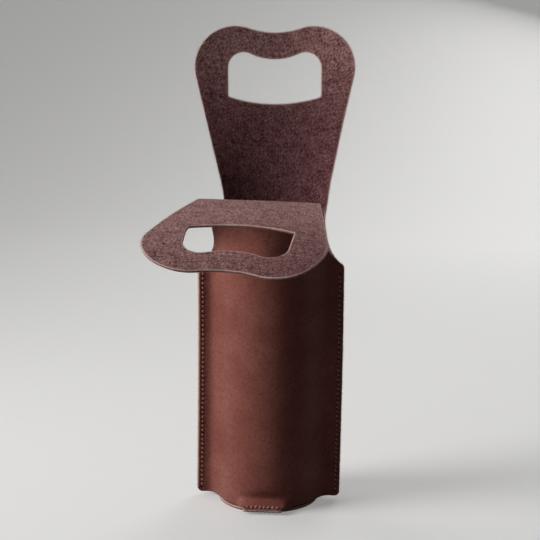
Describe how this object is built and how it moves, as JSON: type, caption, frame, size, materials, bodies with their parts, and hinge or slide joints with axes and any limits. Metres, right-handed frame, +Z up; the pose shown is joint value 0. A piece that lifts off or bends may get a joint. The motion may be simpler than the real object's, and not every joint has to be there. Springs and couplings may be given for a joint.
{
  "type": "bottle carrier",
  "caption": "Leather carrier for one wine bottle: panels sewn along flat side flanges round a base disc, each rising to a lobed handle with a hand hole that folds at the neck.",
  "frame": {"origin": "on the floor under the middle of the base disc", "axes": "+Z up, +X right as seen from the front, the front with the folded handle faces -Y"},
  "size_m": [0.1433, 0.2315, 0.3975],
  "materials": {
    "leather": "smooth chestnut grain outside, napped flesh side inside, raw cut edges",
    "thread": "waxed sewing thread"
  },
  "bodies": {
    "body": {"front_panel": "leather", "back_panel": "leather", "base_disc": "leather", "left_seam_needle_thread": "thread", "left_seam_bobbin_thread": "thread", "right_seam_needle_thread": "thread", "right_seam_bobbin_thread": "thread", "front_tab_needle_thread": "thread", "front_tab_bobbin_thread": "thread", "back_tab_needle_thread": "thread", "back_tab_bobbin_thread": "thread"},
    "front_grip": {"front_handle": "leather"},
    "back_grip": {"back_handle": "leather"}
  },
  "joints": [
    {"name": "front_handle_fold", "type": "hinge", "parent": "body", "child": "front_grip", "pos_m": [-0.00083, -0.05013, 0.25891], "axis": [-0.9962, 0.0872, 0], "range_deg": [-30, 124]},
    {"name": "back_handle_fold", "type": "hinge", "parent": "body", "child": "back_grip", "pos_m": [0, 0.04185, 0.26123], "axis": [-1, 0, 0], "range_deg": [-16, 108]}
  ]
}
